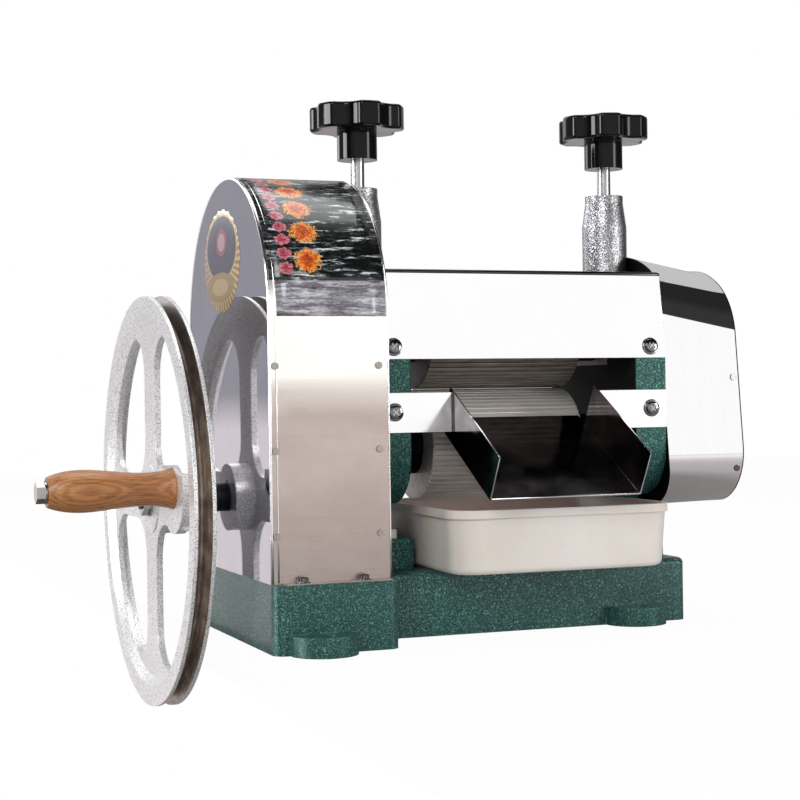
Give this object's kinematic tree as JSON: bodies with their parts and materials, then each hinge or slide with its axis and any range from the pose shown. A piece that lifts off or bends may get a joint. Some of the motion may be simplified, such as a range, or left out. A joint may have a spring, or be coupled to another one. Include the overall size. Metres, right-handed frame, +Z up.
{
  "type": "manual sugarcane juicer",
  "caption": "Hand-cranked sugarcane press: ribbed rollers between cast side frames, covered gear drive from an overhung handwheel, screw-down knobs, discharge chute and slide-out juice tray.",
  "frame": {"origin": "on the plane of the base's underside, straight below the middle of the rollers", "axes": "+X along the rollers, from the handwheel side to the coupling side; +Y from the chute to the feed side; +Z up"},
  "size_m": [0.6148, 0.4466, 0.5205],
  "materials": {
    "green_casting": "hammertone enamel",
    "silver_casting": "silver hammertone enamel",
    "mirror_stainless": "mirror polished",
    "brushed_stainless": "brushed",
    "roller_steel": "ribbed, turned",
    "machined_steel": "machined",
    "black_steel": "black oxide",
    "gear_steel": "hobbed, oiled",
    "bronze": "bored",
    "zinc_fastener": "zinc plated",
    "black_knob": "gloss",
    "grip_wood": "turned, varnished",
    "tray_plastic": "satin"
  },
  "bodies": {
    "frame": {"base_casting": "green_casting", "left_side_frame": "green_casting", "right_side_frame": "green_casting", "frame_bolts": "zinc_fastener", "left_screw_tower": "silver_casting", "right_screw_tower": "silver_casting", "tower_bolts": "zinc_fastener", "lower_bushes": "bronze", "idler_axle": "machined_steel", "idler_spacer": "machined_steel", "idler_retainer": "zinc_fastener", "drive_bracket": "green_casting", "drive_bushes": "bronze", "bracket_bolts": "zinc_fastener", "gear_cover_band": "brushed_stainless", "gear_cover_side_plate": "mirror_stainless", "gear_cover_back_plate": "brushed_stainless", "gear_cover_rivets": "zinc_fastener", "gear_cover_screws": "zinc_fastener", "top_hood": "mirror_stainless", "panel_screws": "zinc_fastener", "discharge_chute": "mirror_stainless", "right_cover": "mirror_stainless", "right_cover_end_plate": "mirror_stainless", "right_cover_rivets": "zinc_fastener", "right_cover_screws": "zinc_fastener"},
    "carriage": {"upper_bearing_blocks": "machined_steel", "upper_bushes": "bronze"},
    "upper_roller_set": {"upper_roller": "roller_steel", "upper_roller_shaft": "machined_steel", "upper_roller_spacers": "black_steel", "main_gear": "gear_steel", "upper_coupling_gear": "gear_steel", "upper_shaft_keys": "machined_steel", "upper_shaft_end_bolts": "zinc_fastener"},
    "lower_roller_set": {"lower_roller": "roller_steel", "lower_roller_shaft": "machined_steel", "lower_roller_spacers": "black_steel", "lower_coupling_gear": "gear_steel", "lower_shaft_key": "machined_steel", "lower_shaft_end_bolt": "zinc_fastener"},
    "idler_set": {"idler_pinion": "gear_steel", "idler_gear": "gear_steel", "idler_bush": "bronze"},
    "handwheel_set": {"handwheel": "silver_casting", "handwheel_shaft": "black_steel", "handwheel_keys": "machined_steel", "drive_pinion": "gear_steel", "shaft_collar": "black_steel", "wheel_washer": "zinc_fastener", "wheel_nut": "zinc_fastener", "handle_bolt": "zinc_fastener", "handle_nut": "zinc_fastener"},
    "handle": {"handle_grip": "grip_wood"},
    "left_screw": {"left_pressure_screw": "machined_steel", "left_star_knob": "black_knob"},
    "right_screw": {"right_pressure_screw": "machined_steel", "right_star_knob": "black_knob"},
    "tray": {"juice_tray": "tray_plastic"}
  },
  "joints": [
    {"name": "upper_lift", "type": "slide", "parent": "frame", "child": "carriage", "axis": [0, 0, 1], "range_m": [0, 0.005]},
    {"name": "left_screw_turn", "type": "hinge", "parent": "carriage", "child": "left_screw", "pos_m": [-0.12, 0, 0.35], "axis": [0, 0, 1], "range_deg": [0, 900]},
    {"name": "right_screw_turn", "type": "hinge", "parent": "carriage", "child": "right_screw", "pos_m": [0.12, 0, 0.35], "axis": [0, 0, 1], "range_deg": [0, 900]},
    {"name": "upper_roller_spin", "type": "hinge", "parent": "carriage", "child": "upper_roller_set", "pos_m": [0, 0, 0.256], "axis": [1, 0, 0], "continuous": true},
    {"name": "lower_roller_spin", "type": "hinge", "parent": "frame", "child": "lower_roller_set", "pos_m": [0, 0, 0.158], "axis": [1, 0, 0], "continuous": true},
    {"name": "idler_spin", "type": "hinge", "parent": "frame", "child": "idler_set", "pos_m": [-0.17, 0.02286, 0.12599], "axis": [1, 0, 0], "continuous": true},
    {"name": "handwheel_spin", "type": "hinge", "parent": "frame", "child": "handwheel_set", "pos_m": [-0.28, 0.089, 0.1125], "axis": [1, 0, 0], "continuous": true},
    {"name": "handle_spin", "type": "hinge", "parent": "handwheel_set", "child": "handle", "pos_m": [-0.34, -0.005, 0.127], "axis": [1, 0, 0], "continuous": true},
    {"name": "tray_slide", "type": "slide", "parent": "frame", "child": "tray", "axis": [0, -1, 0], "range_m": [0, 0.1]}
  ],
  "couplings": [
    {"joint": "left_screw_turn", "follows": "upper_lift", "rad_per_m": 3141.6},
    {"joint": "right_screw_turn", "follows": "upper_lift", "rad_per_m": 3141.6},
    {"joint": "idler_spin", "follows": "handwheel_spin", "ratio": -0.45161},
    {"joint": "upper_roller_spin", "follows": "handwheel_spin", "ratio": 0.10036},
    {"joint": "lower_roller_spin", "follows": "handwheel_spin", "ratio": -0.10036}
  ]
}
